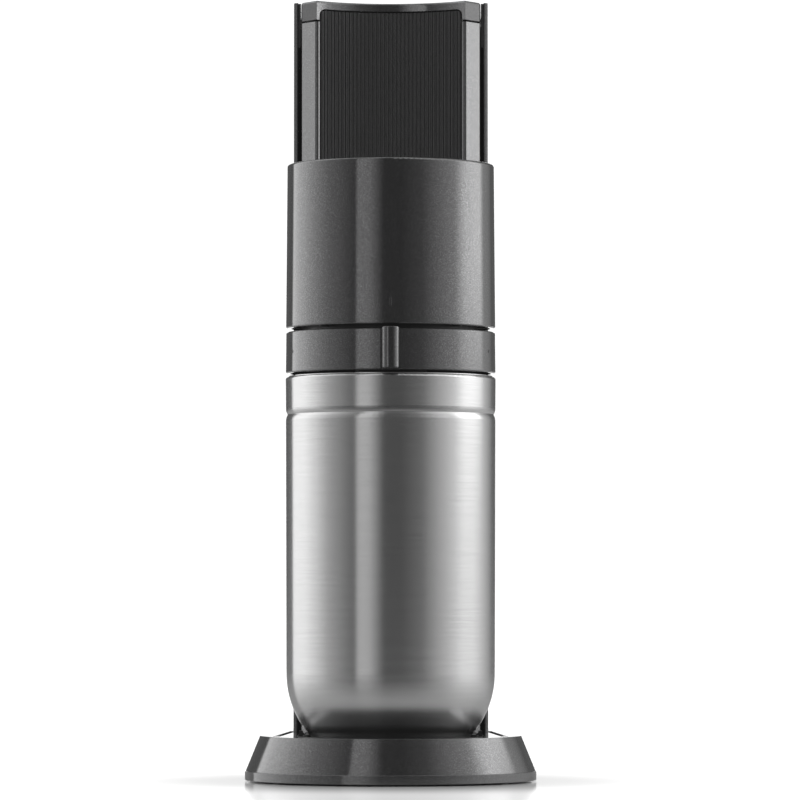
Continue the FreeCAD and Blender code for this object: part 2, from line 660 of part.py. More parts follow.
def build_gas_supply():
    """Gas cylinder, its seat, the valve block with its pin, and the gas hose."""
    turned("gas_cylinder", [
        ("0", "cylinder_bottom"),
        ("cylinder_radius - 5", "cylinder_bottom", "5"),
        ("cylinder_radius", "cylinder_bottom + 5"),
        ("cylinder_radius", "cylinder_shoulder", "34"),
        ("12.7", "cylinder_neck - 16"),
        ("12.7", "cylinder_neck"),
        ("7", "cylinder_neck"),
        ("7", "cylinder_neck - 17"),
        ("13.8", "cylinder_neck - 20.3"),
        ("cylinder_radius - cylinder_wall - 4", "cylinder_shoulder + 13.8"),
        ("cylinder_radius - cylinder_wall", "cylinder_shoulder - 2"),
        ("cylinder_radius - cylinder_wall", "cylinder_bottom + 6"),
        ("cylinder_radius - cylinder_wall - 3", "cylinder_bottom + cylinder_wall"),
        ("0", "cylinder_bottom + cylinder_wall")], "tower_span")
    turned("cylinder_valve", [
        ("0", "cylinder_neck"),
        ("12", "cylinder_neck"),
        ("12", "valve_bottom - 1.5"),
        ("10.7", "valve_bottom - 1.5"),
        ("10.7", "valve_bottom + 9.7"),
        ("0", "valve_bottom + 9.7")], "tower_span")
    turned("cylinder_washer", [
        ("10.9", "valve_bottom - 1.5"),
        ("14", "valve_bottom - 1.5"),
        ("14", "valve_bottom"),
        ("10.9", "valve_bottom")], "tower_span")
    turned("cylinder_cup", [
        ("0", "deck_height"),
        ("34", "deck_height"),
        ("34", "deck_height + 22"),
        ("cylinder_radius + 0.5", "deck_height + 22"),
        ("cylinder_radius + 0.5", "deck_height + 4"),
        ("0", "deck_height + 4")], "tower_span")
    turned("cylinder_pad", [
        ("0", "deck_height + 4"),
        ("cylinder_radius - 3", "deck_height + 4"),
        ("cylinder_radius - 3", "cylinder_bottom"),
        ("0", "cylinder_bottom")], "tower_span")

    drum = cylinder("valve_radius", "valve_top - valve_bottom", y="tower_span", z="valve_bottom")
    arm = block(24, "tower_span - chassis_front - wall - 4", 18, -12, "chassis_front + wall + 4",
                "valve_bottom + 4")
    socket = cylinder(10.9, "10.3", y="tower_span", z="valve_bottom")
    bore = cylinder("pin_radius + running_gap", 40, y="tower_span", z="valve_bottom")
    node("valve_block", cut(fuse(drum, arm), socket, bore))
    node("valve_bracket", group(block(40, 4, 26, -20, "chassis_front + wall", "valve_bottom")))
    relief = fuse(cylinder(5, 9, -28.5, "tower_span", "valve_bottom + 13", ALONG_X),
                  cylinder(3.2, 4, -32.5, "tower_span", "valve_bottom + 13", ALONG_X))
    node("relief_valve", cut(relief, cylinder("valve_radius", 60, y="tower_span", z=350)))

    shaft = cylinder("pin_radius", "pin_top - pin_bottom", y="tower_span", z="pin_bottom")
    collar = cylinder(5.6, 2, y="tower_span", z="collar_height")
    node("valve_pin", fuse(shaft, collar))

    turned("pin_spring", [
        ("4.1", "valve_top + 0.1"),
        ("5.1", "valve_top + 0.1"),
        ("5.1", "collar_height - 0.1"),
        ("4.1", "collar_height - 0.1")], "tower_span")


def build_hose():
    """Hose that hangs in a loop from the valve block to the right slider block."""
    port_height = value("valve_bottom + 13")
    out = V(math.cos(math.radians(34)), math.sin(math.radians(34)), 0)
    centre = V(0, size("tower_span"), port_height)
    nut = Part.makeCylinder(4.5, 6, centre + out * (size("valve_radius") - 0.4), out)
    drum = Part.makeCylinder(size("valve_radius"), 60, V(0, size("tower_span"), port_height - 30))
    node("hose_nut", shaped(nut.cut(drum)))
    elbow = V(45, size("rod_reach") + 10, size("arm_bottom") - 4)
    node("slider_elbow", group(block(8, 7, 12, elbow.x - 4, "rod_reach + 6.5", elbow.z)))
    route = [
        centre + out * (size("valve_radius") + 5.6),
        centre + out * 34,
        centre + out * 42 + V(0, 0, -10),
        V(40, 145, 348),
        V(41.5, 141, 304),
        V(42.5, 137, 262),
        V(43.2, 131, 229),
        V(44.2, 119, 214),
        V(45, 107.5, 224),
        V(45, 105, 242),
        elbow]
    node("gas_hose", shaped(pipe(route, size("hose_radius"))))


# ---- head ---------------------------------------------------------------------------

def build_head():
    shell = turned("", [
        ("head_low_radius - head_wall - 0.5", "head_bottom"),
        ("head_low_radius - 0.6", "head_bottom"),
        ("head_low_radius", "head_bottom + 0.6"),
        ("head_top_radius", "head_top - 1.2", "1.2"),
        ("head_top_radius - 1.2", "head_top"),
        ("0", "head_top"),
        ("0", "head_top - head_wall"),
        ("head_low_radius - head_wall - 0.5", "head_top - head_wall")])
    spots = [(36.6, 36.6), (36.6, -36.6)]
    bosses = [cylinder(4, 20, x, y, "head_bottom + 4") for x, y in mirrored(spots)]
    holes = [cylinder(1.25, 20, x, y, "head_bottom + 2") for x, y in mirrored(spots)]
    slots = [block("arm_outer - arm_inner + 2 * play", 30, "arm_top - arm_bottom + 6", x, 12,
                   "arm_bottom - 1") for x in ("arm_inner - play", "-arm_outer - play")]
    pocket = cut(block(1.3, 1.6, 4.1, -0.65, "-head_low_radius - 0.6", "head_bottom + 9.95"),
                 cylinder("head_low_radius - 0.3", 40, z="head_bottom"))
    node("head_shell", cut(fuse(shell, *bosses), *holes, *slots, pocket))

    mark = cut(block(1.2, 1.6, 4, -0.6, "-head_low_radius - 0.15", "head_bottom + 10"),
               cylinder("head_low_radius - 0.3", 40, z="head_bottom"))
    node("index_mark", mark)

    floor = turned("", [
        ("20.3", "head_bottom + 0.8"),
        ("head_low_radius - head_wall - 0.8", "head_bottom + 0.8"),
        ("head_low_radius - head_wall - 0.8", "head_bottom + 3.8"),
        ("20.3", "head_bottom + 3.8")])
    sleeve = turned("", [
        ("ring_bore - 4.4", "ring_bottom + 2"),
        ("ring_bore + 2.6", "ring_bottom + 2"),
        ("ring_bore + 2.6", "ring_bottom + 5"),
        ("ring_bore - 0.4", "ring_bottom + 5"),
        ("ring_bore - 0.4", "head_bottom + 2"),
        ("ring_bore - 4.4", "head_bottom + 2")])
    node("ring_collar", cut(fuse(floor, sleeve), *[cylinder(1.6, 10, x, y, "head_bottom - 2")
                                                   for x, y in mirrored(spots)]))
    screws = [fuse(cylinder(2.6, 1.3, x, y, "head_bottom - 0.5"),
                   cylinder(1.25, 14, x, y, "head_bottom + 0.8")) for x, y in mirrored(spots)]
    node("head_screws", group(*screws))

    arms = [block("arm_outer - arm_inner", "arm_back - arm_front", "arm_top - arm_bottom", x,
                  "arm_front", "arm_bottom") for x in ("arm_inner", "-arm_outer")]
    bridge = block("2 * arm_inner", 2.5, "arm_top - arm_bottom", "-arm_inner", "arm_front",
                   "arm_bottom")
    node("carriage_frame", fuse(bridge, *arms))

    sliders, bushes = [], []
    for sign, x in ((1, "rod_side"), (-1, "-rod_side")):
        low = "rod_side - 6.6" if sign > 0 else "-arm_inner"
        slider = block("arm_inner - rod_side + 6.6", 13, "arm_top - arm_bottom", low,
                       "rod_reach - 6.5", "arm_bottom")
        sliders.append(cut(slider, cylinder("bush_radius", 100, x, "rod_reach", 240)))
        for z in ("arm_bottom", "arm_top - bush_length"):
            bushes.append(cut(cylinder("bush_radius", "bush_length", x, "rod_reach", z),
                              cylinder("rod_radius + running_gap", 100, x, "rod_reach", 240)))
    node("slider_blocks", group(*sliders))
    node("guide_bushes", group(*bushes))


def build_nozzle():
    """Carbonating nozzle, its block, the bottle seal and the thin gas line."""
    bore = cylinder("nozzle_radius", 200, z="nozzle_end")
    drum = cylinder(14, 42, z="head_bottom + 6")
    bridge = block(24, "arm_front", 16, -12, 0, "head_bottom + 32")
    node("nozzle_block", cut(fuse(drum, bridge), bore))
    turned("seal_holder", [
        ("nozzle_radius", "container_top - 11"),
        ("18", "container_top - 11"),
        ("20", "container_top - 8"),
        ("20", "head_bottom + 6"),
        ("nozzle_radius", "head_bottom + 6")])
    turned("bottle_seal", [
        ("nozzle_radius + 0.2", "container_top - 18"),
        ("13", "container_top - 18"),
        ("17", "container_top - 13"),
        ("17", "container_top - 11"),
        ("nozzle_radius + 0.2", "container_top - 11")])
    turned("nozzle_tube", [
        ("1.2", "nozzle_end"),
        ("nozzle_radius", "nozzle_end"),
        ("nozzle_radius", "head_bottom + 40"),
        ("1.2", "head_bottom + 40")])
    turned("nozzle_tip", [
        ("0.6", "nozzle_end - 8"),
        ("2.4", "nozzle_end - 8"),
        ("3.8", "nozzle_end - 4"),
        ("3.8", "nozzle_end"),
        ("0.6", "nozzle_end")])
    turned("vent_valve", [
        ("0", "head_bottom + 3.8"),
        ("6", "head_bottom + 3.8"),
        ("6", "head_bottom + 16"),
        ("3.5", "head_bottom + 18"),
        ("3.5", "head_bottom + 26"),
        ("0", "head_bottom + 26")], "-32")
    reach = value("(arm_inner + arm_outer) / 2")
    level = value("arm_top + 2.5")
    line = [V(12, 8, 292), V(18, 8, 292), V(30, 9, level), V(reach - 1, 13, level), V(reach, 18, level),
            V(reach, 98, level), V(reach, 98, value("arm_top"))]
    node("arm_gas_line", shaped(pipe(line, size("line_radius"))))


def build_lock_ring():
    ring = turned("", [
        ("ring_radius - 2.6", "ring_bottom"),
        ("ring_radius - 0.6", "ring_bottom"),
        ("ring_radius", "ring_bottom + 0.6"),
        ("ring_radius - 0.2", "ring_top - 0.6"),
        ("ring_radius - 0.8", "ring_top"),
        ("ring_radius - 2.6", "ring_top"),
        ("ring_radius - 2.6", "ring_bottom + 8.4"),
        ("ring_bore", "ring_bottom + 8.4"),
        ("ring_bore", "ring_bottom + 5.4"),
        ("ring_radius - 2.6", "ring_bottom + 5.4")])
    pins, holes = [], []
    for degrees in (-22, -158, 22, 158):
        x = (size("ring_radius") - 1.6) * math.cos(math.radians(degrees))
        y = (size("ring_radius") - 1.6) * math.sin(math.radians(degrees))
        axis = FreeCAD.Rotation(V(0, 0, 1), degrees).multiply(FreeCAD.Rotation(V(0, 1, 0), 90))
        for store in (pins, holes):
            pin = doc.addObject("Part::Cylinder", "RingPin")
            pin.Radius = 0.9
            pin.Height = 1.5 if store is pins else 3.0
            pin.Placement = FreeCAD.Placement(V(x, y, value("ring_bottom + 11.5")), axis)
            store.append(pin)
    slot = block("grip_slot", 4, "ring_top - ring_bottom + 2", "-grip_slot / 2",
                 "-grip_floor - 4", "ring_bottom - 1")
    node("lock_ring", cut(ring, slot, *holes))
    node("ring_pins", group(*pins))
    depth = value("grip_reach - grip_floor")
    tab = Part.makeBox(size("grip_width"), depth, value("ring_top - ring_bottom - 0.2"),
                       V(-size("grip_width") / 2, -size("grip_reach"), value("ring_bottom + 0.8")))
    tab = soften(tab, 4.3, lambda box: box.ZLength > 5 and box.YMax < -size("grip_reach") + 0.01)
    tab = soften(tab, 0.5, lambda box: box.ZLength < 0.01
                 and box.YMin < -size("grip_reach") + 4.2)
    node("grip_tab", shaped(tab))


# ---- cap that serves as the button --------------------------------------------------

def cap_plan(inset):
    side = size("column_half_width") - inset
    nose = size("column_nose") - inset * 0.6
    scoop = size("scoop_radius") + inset
    shoulder = size("column_shoulder") + inset * 0.7
    lip = math.sqrt(scoop ** 2 - nose ** 2)
    span = size("tower_span")
    return face_through([(side, span), (-side, span, 0, span + side), (-side, shoulder),
                         (-nose, lip), (nose, lip, 0, scoop), (side, shoulder)])


def build_cap():
    """Cap over the whole column, hinged at its front, and the post that presses the valve."""
    top, bottom = size("total_height"), size("cap_bottom")
    cap = raised(cap_plan(0), bottom, top)
    cap = soften(cap, 3.0, upright_at(size("column_half_width"), size("column_shoulder")))
    cap = soften(cap, 1.5, lambda box: box.ZMin > top - 0.01)
    hollow = raised(cap_plan(size("wall")), bottom - 1, size("cap_roof"))
    seat = size("panel_half_width") + 0.3
    arch = Part.makeBox(2 * seat, 40, size("arch_top") - bottom + 8, V(-seat, 30, bottom - 8))
    arch = soften(arch, 3.5, lambda box: box.ZMin > size("arch_top") - 0.01
                  and box.XLength < 0.01)
    lid = shaped(cap.cut(hollow).cut(arch))
    lugs = [block(2.5, 7, "cap_roof - hinge_height + 4", x, "hinge_reach - 2.5",
                  "hinge_height - 3.5") for x in ("42.9", "-45.4")]
    bores = [cylinder("hinge_radius + running_gap", 12, x, "hinge_reach", "hinge_height", ALONG_X)
             for x in ("38", "-50")]
    node("button_cap", cut(fuse(lid, *lugs), *bores))

    post = fuse(cylinder(6, "cap_roof - pin_top - 4", y="tower_span", z="pin_top + 4"),
                cone(3.5, 6, 3.7, y="tower_span", z="pin_top + play"),
                block(3, 50, 10, -1.5, "tower_span - 25", "cap_roof - 10"))
    node("press_post", post)

    posts = [cut(block(2.4, 6.5, "hinge_height + 3 - column_top + 12", x, "hinge_reach - 2",
                       "column_top - 12"),
                 cylinder("hinge_radius", 120, -60, "hinge_reach", "hinge_height", ALONG_X))
             for x in ("45.8", "-48.2")]
    node("hinge_posts", group(*posts))
    pins = [cylinder("hinge_radius", 5.2, x, "hinge_reach", "hinge_height", ALONG_X)
            for x in ("43", "-48.2")]
    node("hinge_pins", group(*pins))


build_base()
build_tray()
build_container()
build_sleeve()
build_column()
build_panel()
build_chassis()
build_gas_supply()
build_hose()
build_head()
build_nozzle()
build_lock_ring()
build_cap()
doc.recompute()

# ---- checks and export --------------------------------------------------------------

failed = [item.Name for item in doc.Objects if {"Invalid", "Error"} & set(item.State)]
for part in parts:
    if part.Shape.isNull() or not part.Shape.isValid():
        failed.append(part.Label)
if failed:
    raise RuntimeError("failed: " + ", ".join(failed))

os.makedirs("parts", exist_ok=True)
for part in parts:
    part.Shape.exportStep(os.path.join("parts", part.Label + ".step"))
    box = part.Shape.optimalBoundingBox(False)
    print("%-18s solids %2d  x %7.1f %7.1f  y %7.1f %7.1f  z %6.1f %6.1f" % (
        part.Label, len(part.Shape.Solids), box.XMin, box.XMax, box.YMin, box.YMax,
        box.ZMin, box.ZMax))
print(len(parts), "parts")
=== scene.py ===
import json
import math

import bpy
import bmesh
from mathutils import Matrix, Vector


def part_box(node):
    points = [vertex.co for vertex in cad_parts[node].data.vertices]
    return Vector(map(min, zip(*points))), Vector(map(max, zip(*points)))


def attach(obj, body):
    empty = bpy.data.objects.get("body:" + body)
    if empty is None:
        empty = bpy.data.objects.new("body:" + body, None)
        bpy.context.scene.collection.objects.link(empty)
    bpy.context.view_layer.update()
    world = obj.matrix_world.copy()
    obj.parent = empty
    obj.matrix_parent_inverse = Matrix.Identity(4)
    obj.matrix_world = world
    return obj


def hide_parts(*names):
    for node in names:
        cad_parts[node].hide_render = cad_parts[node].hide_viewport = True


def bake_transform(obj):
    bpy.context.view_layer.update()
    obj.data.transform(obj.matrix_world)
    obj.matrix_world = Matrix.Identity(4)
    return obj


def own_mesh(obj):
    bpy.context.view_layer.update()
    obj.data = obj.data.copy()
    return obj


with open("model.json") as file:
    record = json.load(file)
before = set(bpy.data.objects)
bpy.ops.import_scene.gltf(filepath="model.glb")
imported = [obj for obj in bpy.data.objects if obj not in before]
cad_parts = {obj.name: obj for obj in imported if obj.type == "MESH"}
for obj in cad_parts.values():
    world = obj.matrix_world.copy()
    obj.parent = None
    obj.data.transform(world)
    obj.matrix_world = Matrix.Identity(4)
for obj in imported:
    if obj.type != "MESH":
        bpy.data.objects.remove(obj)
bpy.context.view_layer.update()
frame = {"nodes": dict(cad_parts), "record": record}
nodes = frame["nodes"]

MM = 0.001
container_low, container_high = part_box("container_shell")
AXIS_Y = (container_low.y + container_high.y) / 2   # the container and the head share this axis


# ---- node helpers -------------------------------------------------------------------

# Sockets of a Mix node that is set to colour.
MIX_A, MIX_B, MIX_RESULT = 6, 7, 2


def new_material(name):
    """A material with its node tree and its Principled shader."""
    material = bpy.data.materials.new(name)
    material.use_nodes = True
    tree = material.node_tree
    return material, tree, tree.nodes["Principled BSDF"]


def add(tree, kind, **settings):
    """Add a node; a setting names one of its sockets, or else one of its properties."""
    made = tree.nodes.new(kind)
    for key, value in settings.items():
        socket = key.replace("_", " ")
        if socket in made.inputs:
            made.inputs[socket].default_value = value
        else:
            setattr(made, key, value)
    return made


def math_node(tree, operation, first, second=0.5, clamp=False):
    """Result of a Math node; first and second are numbers or sockets."""
    made = tree.nodes.new("ShaderNodeMath")
    made.operation = operation
    made.use_clamp = clamp
    for index, value in enumerate((first, second)):
        if isinstance(value, (int, float)):
            made.inputs[index].default_value = value
        else:
            tree.links.new(value, made.inputs[index])
    return made.outputs[0]


def combined(tree, first, second, blend="MULTIPLY"):
    """Two colours multiplied, or added with blend="ADD"."""
    made = add(tree, "ShaderNodeMix", data_type="RGBA", blend_type=blend)
    made.inputs["Factor"].default_value = 1.0
    tree.links.new(first, made.inputs[MIX_A])
    tree.links.new(second, made.inputs[MIX_B])
    return made.outputs[MIX_RESULT]


def ramp(tree, source, stops, smooth=False):
    """Colour ramp; a stop is a position with a grey level or a colour."""
    made = tree.nodes.new("ShaderNodeValToRGB")
    made.color_ramp.interpolation = "EASE" if smooth else "LINEAR"
    elements = made.color_ramp.elements
    while len(elements) > 1:
        elements.remove(elements[0])
    for index, (position, level) in enumerate(stops):
        element = elements[0] if index == 0 else elements.new(position)
        element.position = position
        colour = (level, level, level) if isinstance(level, (int, float)) else level
        element.color = (*colour, 1.0)
    tree.links.new(source, made.inputs["Fac"])
    return made.outputs["Color"]


def texture_axes(tree, space):
    """X, Y and Z sockets of a texture coordinate."""
    where = tree.nodes.new("ShaderNodeTexCoord")
    parts = tree.nodes.new("ShaderNodeSeparateXYZ")
    tree.links.new(where.outputs[space], parts.inputs["Vector"])
    return parts.outputs


def object_coordinates(tree, scale, offset=(0, 0, 0)):
    """Object coordinates scaled per axis, then moved."""
    where = tree.nodes.new("ShaderNodeTexCoord")
    mapping = add(tree, "ShaderNodeMapping", Location=offset, Scale=scale)
    tree.links.new(where.outputs["Object"], mapping.inputs["Vector"])
    return mapping.outputs["Vector"]


def noise(tree, vector, scale, detail=2.0, roughness=0.5):
    made = add(tree, "ShaderNodeTexNoise", Scale=scale, Detail=detail, Roughness=roughness)
    tree.links.new(vector, made.inputs["Vector"])
    return made.outputs["Fac"]


# ---- materials ----------------------------------------------------------------------

def rounded_edges(tree, radius):
    """Normal that softens sharp edges over a radius."""
    made = add(tree, "ShaderNodeBevel", samples=4)
    made.inputs["Radius"].default_value = radius
    return made.outputs["Normal"]


def bump(tree, shader, height, strength, distance, edge=0.0):
    """Fine relief from a height; an edge radius also rounds the shape's edges in shading."""
    made = add(tree, "ShaderNodeBump", Strength=strength, Distance=distance)
    tree.links.new(height, made.inputs["Height"])
    if edge:
        tree.links.new(rounded_edges(tree, edge), made.inputs["Normal"])
    tree.links.new(made.outputs["Normal"], shader.inputs["Normal"])
    if edge:
        tree.links.new(rounded_edges(tree, edge), shader.inputs["Coat Normal"])


def flake_plastic(name, dark, light, roughness, edge=0.0004):
    """Dark metallic moulded plastic: fine sparkle under a clear glossy skin."""
    material, tree, shader = new_material(name)
    shader.inputs["Metallic"].default_value = 0.9
    shader.inputs["Coat Weight"].default_value = 1.0
    shader.inputs["Coat Roughness"].default_value = 0.06
    shader.inputs["Coat IOR"].default_value = 1.5
    where = object_coordinates(tree, (1, 1, 1))
    flakes = noise(tree, where, 2600.0, 1.0, 0.5)
    cloud = noise(tree, where, 500.0, 3.0, 0.6)
    glint = tuple(part * 1.7 for part in light)
    sparkle = ramp(tree, flakes, [(0.40, dark), (0.60, light), (0.66, glint)])
    tree.links.new(sparkle, shader.inputs["Base Color"])
    rough = ramp(tree, cloud, [(0.3, roughness - 0.02), (0.7, roughness + 0.03)])
    tree.links.new(rough, shader.inputs["Roughness"])
    bump(tree, shader, flakes, 0.06, 0.00004, edge)
    return material


def brushed_steel(name, level, roughness, stretch, anisotropy=0.0, edge=0.0003):
    """Steel with hairlines; stretch says how fine the lines are along each axis."""
    material, tree, shader = new_material(name)
    shader.inputs["Metallic"].default_value = 1.0
    fine = noise(tree, object_coordinates(tree, stretch), 9.0, 4.0, 0.65)
    stretch_broad = tuple(part * 0.12 for part in stretch)
    broad = noise(tree, object_coordinates(tree, stretch_broad), 5.0)
    tint = ramp(tree, fine, [(0.3, level * 0.88), (0.7, level * 1.08)])
    tree.links.new(tint, shader.inputs["Base Color"])
    rough = math_node(tree, "ADD", math_node(tree, "MULTIPLY", fine, 0.08),
                      math_node(tree, "MULTIPLY", broad, 0.06))
    rough = math_node(tree, "ADD", rough, roughness - 0.07)
    tree.links.new(rough, shader.inputs["Roughness"])
    if anisotropy:
        # A quarter turn lays the stretched highlight along the upright axis.
        shader.inputs["Anisotropic"].default_value = anisotropy
        shader.inputs["Anisotropic Rotation"].default_value = 0.25
        along = add(tree, "ShaderNodeTangent", direction_type="RADIAL", axis="Z")
        tree.links.new(along.outputs["Tangent"], shader.inputs["Tangent"])
    bump(tree, shader, fine, 0.08, 0.00006, edge)
    return material


def moulded(name, colour, roughness, grain_scale=1800.0, strength=0.25, specular=0.5):
    """Fine-textured moulded plastic or rubber."""
    material, tree, shader = new_material(name)
    grain = noise(tree, object_coordinates(tree, (1, 1, 1)), grain_scale, 3.0, 0.6)
    dark = tuple(part * 0.75 for part in colour)
    light = tuple(part * 1.25 for part in colour)
    tree.links.new(ramp(tree, grain, [(0.3, dark), (0.7, light)]), shader.inputs["Base Color"])
    rough = ramp(tree, grain, [(0.3, roughness - 0.05), (0.7, roughness + 0.07)])
    tree.links.new(rough, shader.inputs["Roughness"])
    shader.inputs["Specular IOR Level"].default_value = specular
    bump(tree, shader, grain, strength, 0.00008)
    return material


def cap_plastic(plastic):
    """The tower's cap: painted shade darkens its side facets and painted light lifts its
    scooped lip, by the way each face turns; the facets are also duller.
    """
    material = plastic.copy()
    material.name = "cap_plastic"
    tree = material.node_tree
    shader = tree.nodes["Principled BSDF"]
    flakes = shader.inputs["Base Color"].links[0].from_socket
    aside = math_node(tree, "ABSOLUTE", texture_axes(tree, "Normal")["X"])
    lip_until, facet_from = 0.70, 0.76
    # Painted light and shade by facing: the lip's colour is lifted 1.3 times and the side
    # facets' colour is darkened to 0.45.
    painted_facing_shade = ramp(tree, aside, [(0.0, 1.3), (lip_until, 1.3), (facet_from, 0.45)])
    skin = ramp(tree, aside, [(lip_until, 1.0), (facet_from, 0.45)])
    tree.links.new(combined(tree, flakes, painted_facing_shade), shader.inputs["Base Color"])
    tree.links.new(skin, shader.inputs["Coat Weight"])
    return material


def grey(level):
    """A very slightly cool grey."""
    return (level, level, level * 1.015)


TITANIUM = flake_plastic("titanium_plastic", grey(0.07), grey(0.125), 0.11)
COLUMN = flake_plastic("column_plastic", grey(0.08), grey(0.12), 0.14, 0.00015)
STEEL = brushed_steel("container_steel", 0.62, 0.235, (4.0, 4.0, 900.0), 0.85)
BRIGHT_STEEL = brushed_steel("bright_steel", 0.62, 0.22, (60.0, 60.0, 60.0))
BLACK = moulded("black_plastic", grey(0.016), 0.40)
PANEL_BLACK = moulded("panel_black", grey(0.11), 0.22, 2400.0, 0.1)
RUBBER = moulded("black_rubber", grey(0.011), 0.7, 900.0, 0.4, 0.3)
BRASS = brushed_steel("turned_brass", 0.5, 0.25, (300.0, 300.0, 300.0))
ALLOY = brushed_steel("cast_alloy", 0.45, 0.45, (120.0, 120.0, 120.0))
PAINT = moulded("cylinder_paint", (0.28, 0.29, 0.31), 0.3, 300.0, 0.1)
PALE = moulded("pale_plastic", grey(0.2), 0.4)
BRAID = brushed_steel("braided_steel", 0.42, 0.4, (900.0, 900.0, 900.0))
CAP = cap_plastic(TITANIUM)

BY_SLOT = {
    "titanium_plastic": TITANIUM, "black_plastic": BLACK, "steel": STEEL,
    "zinc_steel": BRIGHT_STEEL, "rubber": RUBBER, "cylinder_paint": PAINT,
    "brass": BRASS, "cast_alloy": ALLOY, "pale_nozzle": PALE,
}

# Nodes whose look is finer than their slot's.
BY_NODE = {
    "ribbed_panel": PANEL_BLACK, "column_core": COLUMN, "button_cap": CAP,
    "head_screws": BLACK, "ring_pins": BLACK, "index_mark": TITANIUM,
    "carriage_frame": BLACK,
}


def dress(thing, material):
    thing.data.materials.clear()
    thing.data.materials.append(material)


for entry in frame["record"]["subparts"]:
    name = entry["node"]
    dress(nodes[name], BY_NODE.get(name, BY_SLOT[entry["material_slot"]]))


# ---- pieces drawn finer than in the CAD ---------------------------------------------

def linked_object(name, mesh, material):
    thing = bpy.data.objects.new(name, mesh)
    bpy.context.scene.collection.objects.link(thing)
    dress(thing, material)
    return thing


def close_skin(builder, loops):
    """Faces between loops of equal size, and one face over each end."""
    size = len(loops[0])
    for first, second in zip(loops, loops[1:]):
        for step in range(size):
            after = (step + 1) % size
            builder.faces.new((first[step], first[after], second[after], second[step]))
    builder.faces.new(list(reversed(loops[0])))
    builder.faces.new(loops[-1])


def smooth_object(name, builder, material):
    """The builder's mesh as an object, smooth-shaded and with its normals outward."""
    bmesh.ops.recalc_face_normals(builder, faces=builder.faces)
    mesh = bpy.data.meshes.new(name)
    builder.to_mesh(mesh)
    builder.free()
    for polygon in mesh.polygons:
        polygon.use_smooth = True
    return linked_object(name, mesh, material)


def tube(name, spots, radius, material, around, ridge=0.0, twist=0.0):
    """Round tube along points, closed at both ends. Four strands of height ridge run
    along it, and turn by an angle of twist / 4 from each point to the next."""
    builder = bmesh.new()
    rings = []
    forward = (spots[1] - spots[0]).normalized()
    side = forward.orthogonal().normalized()
    for index, spot in enumerate(spots):
        ahead = spots[min(index + 1, len(spots) - 1)] - spots[max(index - 1, 0)]
        forward = ahead.normalized()
        side = (side - forward * side.dot(forward)).normalized()
        up = forward.cross(side)
        ring = []
        for step in range(around):
            angle = 2 * math.pi * step / around
            reach = radius + ridge * math.sin(angle * 4 + twist * index)
            ring.append(builder.verts.new(
                spot + side * (math.cos(angle) * reach) + up * (math.sin(angle) * reach)))
        rings.append(ring)
    close_skin(builder, rings)
    return smooth_object(name, builder, material)


def smooth_path(corners, steps):
    """Points of a smooth curve that passes through every corner."""
    path = []
    last = len(corners) - 1
    for index in range(last):
        before = corners[max(index - 1, 0)]
        start, stop = corners[index], corners[index + 1]
        after = corners[min(index + 2, last)]
        for step in range(steps):
            t = step / steps
            path.append(0.5 * (2 * start + (stop - before) * t
                               + (2 * before - 5 * start + 4 * stop - after) * t ** 2
                               + (3 * start - before - 3 * stop + after) * t ** 3))
    path.append(corners[-1])
    return path


def pin_spring():
    """Coil round the valve pin, between the valve block and the pin's collar."""
    bottom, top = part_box("pin_spring")
    wire = 0.45 * MM
    radius = (top.x - bottom.x) / 2 - wire
    middle = (bottom + top) / 2
    coils, steps = 5.5, 24
    count = int(coils * steps)
    spots = []
    for index in range(count + 1):
        angle = 2 * math.pi * index / steps
        rise = bottom.z + wire + (top.z - bottom.z - 2 * wire) * index / count
        spots.append(Vector((middle.x + radius * math.cos(angle),
                             middle.y + radius * math.sin(angle), rise)))
    coil = tube("spring_coil", spots, wire, BRIGHT_STEEL, 10)
    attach(coil, "tower")
    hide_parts("pin_spring")
    # The collar comes down 4 mm on a spring that is 9.8 mm long at rest.
    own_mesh(coil)


def gas_hose():
    """Braided hose: from the valve block down inside the tower and up to the head's elbow."""
    lean = math.radians(34)
    out = Vector((math.cos(lean), math.sin(lean), 0))
    port = Vector((0, AXIS_Y + 128 * MM, 385 * MM))
    corners = [port + out * 25.6 * MM, port + out * 34 * MM,
               port + out * 41.5 * MM + Vector((0, 0, -9 * MM))]
    # Millimetres from the container's axis, about 1 mm at most from part.py's route.
    stations = [(40, 145, 348), (41.5, 141, 304), (42.5, 137, 262), (43.2, 131, 229),
                (44.2, 119, 214.5), (45, 107.5, 224), (45, 105, 242), (45, 105, 258)]
    corners += [Vector((x * MM, AXIS_Y + y * MM, z * MM)) for x, y, z in stations]
    path = smooth_path(corners, 14)
    hose = tube("braided_hose", path, 2.85 * MM, BRAID, 24, 0.12 * MM, 0.9)
    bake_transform(hose)
    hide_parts("gas_hose")


# One rib across its pitch: how far along (0 to 1) and how high between root and crest.
RIB_SECTION = (
    (0.08, 0.0), (0.13, 0.10), (0.17, 0.65), (0.21, 0.92), (0.27, 1.0), (0.35, 0.97),
    (0.42, 0.80), (0.50, 0.50), (0.58, 0.80), (0.65, 0.97), (0.73, 1.0), (0.79, 0.92),
    (0.83, 0.65), (0.87, 0.10), (0.92, 0.0))


